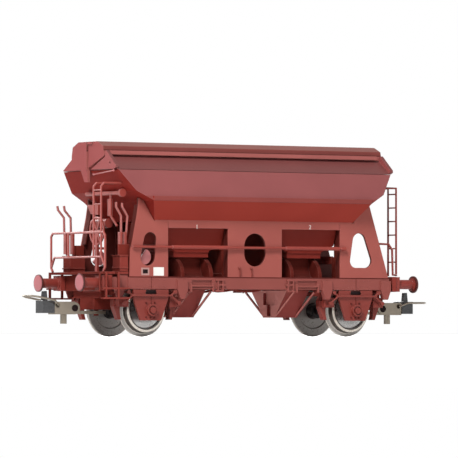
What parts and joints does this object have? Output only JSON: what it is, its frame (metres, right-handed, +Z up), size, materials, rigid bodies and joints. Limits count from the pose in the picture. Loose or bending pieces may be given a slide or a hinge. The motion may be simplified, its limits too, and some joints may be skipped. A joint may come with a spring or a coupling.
{
  "type": "swing-roof hopper wagon model",
  "caption": "Scale model of a two-axle swing-roof hopper wagon: sloping tub, side discharge bays, braked end platform, ladders, turning wheelsets and swinging hook couplers",
  "frame": {"origin": "centre of the wagon in plan, at the foot of the wheel flanges", "axes": "+X along the wagon to the end with the tall ladder, -Y the side seen in the picture, +Z up"},
  "size_m": [0.1165, 0.0336, 0.0479],
  "materials": {
    "oxide_brown": "satin oxide-brown paint on moulded plastic",
    "frame_brown": "matt dark brown moulded plastic",
    "wheel_metal": "bright turned tread with greyed webs",
    "coupler_metal": "dull browned metal",
    "coupler_black": "black plastic with a soft shine"
  },
  "bodies": {
    "wagon": {"axle_guard_left_far": "oxide_brown", "axle_guard_left_near": "oxide_brown", "axle_guard_right_far": "oxide_brown", "axle_guard_right_near": "oxide_brown", "brake_gear_left": "oxide_brown", "brake_gear_right": "oxide_brown", "buffer_left_far": "oxide_brown", "buffer_left_near": "oxide_brown", "buffer_right_far": "oxide_brown", "buffer_right_near": "oxide_brown", "chute_left": "oxide_brown", "chute_right": "oxide_brown", "control_box_far": "oxide_brown", "control_box_near": "oxide_brown", "coupler_mount_left": "oxide_brown", "coupler_mount_right": "oxide_brown", "end_ladder": "oxide_brown", "funnel_left": "oxide_brown", "funnel_right": "oxide_brown", "handwheel": "oxide_brown", "headstock_left": "oxide_brown", "headstock_right": "oxide_brown", "hopper_body": "oxide_brown", "hopper_flare": "oxide_brown", "levers_far": "oxide_brown", "levers_near": "oxide_brown", "operating_rod_far": "oxide_brown", "operating_rod_near": "oxide_brown", "platform_floor": "oxide_brown", "platform_railing": "oxide_brown", "pocket_left": "oxide_brown", "pocket_right": "oxide_brown", "roof_gear": "oxide_brown", "roof_half_far": "oxide_brown", "roof_half_near": "oxide_brown", "side_wall_centre_far": "oxide_brown", "side_wall_centre_near": "oxide_brown", "side_wall_left_far": "oxide_brown", "side_wall_left_near": "oxide_brown", "side_wall_right_far": "oxide_brown", "side_wall_right_near": "oxide_brown", "sole_bar_far": "oxide_brown", "sole_bar_near": "oxide_brown", "underframe": "frame_brown"},
    "wheelset_left": {"axle_left": "wheel_metal", "wheel_left_far": "wheel_metal", "wheel_left_near": "wheel_metal"},
    "wheelset_right": {"axle_right": "wheel_metal", "wheel_right_far": "wheel_metal", "wheel_right_near": "wheel_metal"},
    "coupler_left": {"coupler_head_left": "coupler_black", "coupler_shank_left": "coupler_metal"},
    "coupler_right": {"coupler_head_right": "coupler_black", "coupler_shank_right": "coupler_metal"},
    "hoop_left": {"coupler_hoop_left": "coupler_metal"},
    "hoop_right": {"coupler_hoop_right": "coupler_metal"}
  },
  "joints": [
    {"name": "axle_turn_left", "type": "hinge", "parent": "wagon", "child": "wheelset_left", "pos_m": [-0.0301, 0, 0.0065], "axis": [0, 1, 0], "continuous": true},
    {"name": "coupler_swing_left", "type": "hinge", "parent": "wagon", "child": "coupler_left", "pos_m": [-0.0385, 0, 0.0055], "axis": [0, 0, 1], "range_deg": [-8, 8]},
    {"name": "hoop_lift_left", "type": "hinge", "parent": "coupler_left", "child": "hoop_left", "pos_m": [-0.0503, 0, 0.0077], "axis": [0, 1, 0], "range_deg": [-10, 15]},
    {"name": "axle_turn_right", "type": "hinge", "parent": "wagon", "child": "wheelset_right", "pos_m": [0.0301, 0, 0.0065], "axis": [0, 1, 0], "continuous": true},
    {"name": "coupler_swing_right", "type": "hinge", "parent": "wagon", "child": "coupler_right", "pos_m": [0.0385, 0, 0.0055], "axis": [0, 0, 1], "range_deg": [-8, 8]},
    {"name": "hoop_lift_right", "type": "hinge", "parent": "coupler_right", "child": "hoop_right", "pos_m": [0.0503, 0, 0.0077], "axis": [0, -1, 0], "range_deg": [0, 25]}
  ]
}
